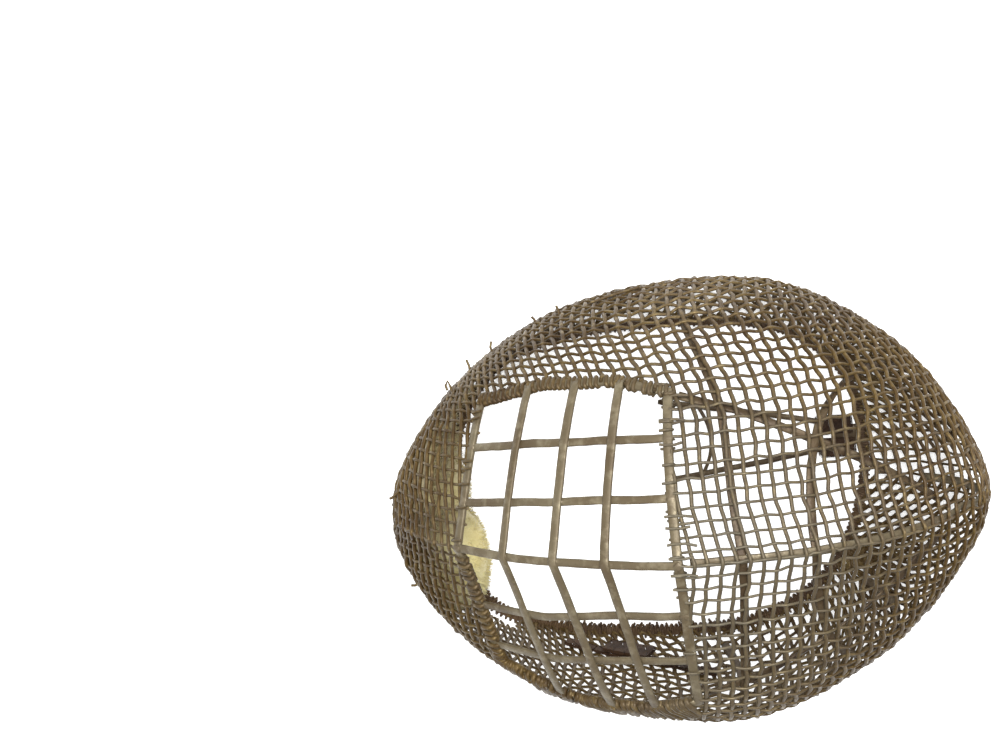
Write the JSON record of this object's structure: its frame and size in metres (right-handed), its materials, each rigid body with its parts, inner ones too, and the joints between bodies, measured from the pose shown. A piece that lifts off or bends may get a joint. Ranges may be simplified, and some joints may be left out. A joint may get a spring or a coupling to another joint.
{
  "type": "fencing mask",
  "caption": "Old woven-wire fencing mask: egg-shaped wire cage with a barred rectangular visor, an iron rear rim, flat inner ribs, a spring fork for the back of the head and a fleece chin pad.",
  "frame": {"origin": "under the middle of the mask's bounding box, on the surface that the rear rim lies on; the middle of the rear rim is 22.8 mm to the chin and 6.1 mm to the left", "axes": "+X from the chin to the crown, +Y to the wearer's right, +Z the way that the face looks"},
  "size_m": [0.3182, 0.2178, 0.179],
  "materials": {
    "rusted_wire": "aged bronze-brown rust on woven wire",
    "bronzed_steel": "dull bronze-brown flat bar, worn lighter on the edges",
    "dark_iron": "dark rusted iron",
    "old_leather": "dry dark brown leather",
    "fleece": "yellowed sheepskin pile"
  },
  "bodies": {
    "root": {"wire_shell": "rusted_wire", "visor_grille": "bronzed_steel", "rear_rim": "dark_iron", "centre_rib": "bronzed_steel", "brow_rib": "bronzed_steel", "crown_rib": "bronzed_steel", "side_rib_right": "bronzed_steel", "side_rib_left": "bronzed_steel", "spring_tongue": "dark_iron", "leather_tab_right": "old_leather", "leather_tab_left": "old_leather", "cheek_band": "old_leather", "cheek_patch": "old_leather", "chin_pad": "fleece"}
  },
  "joints": []
}
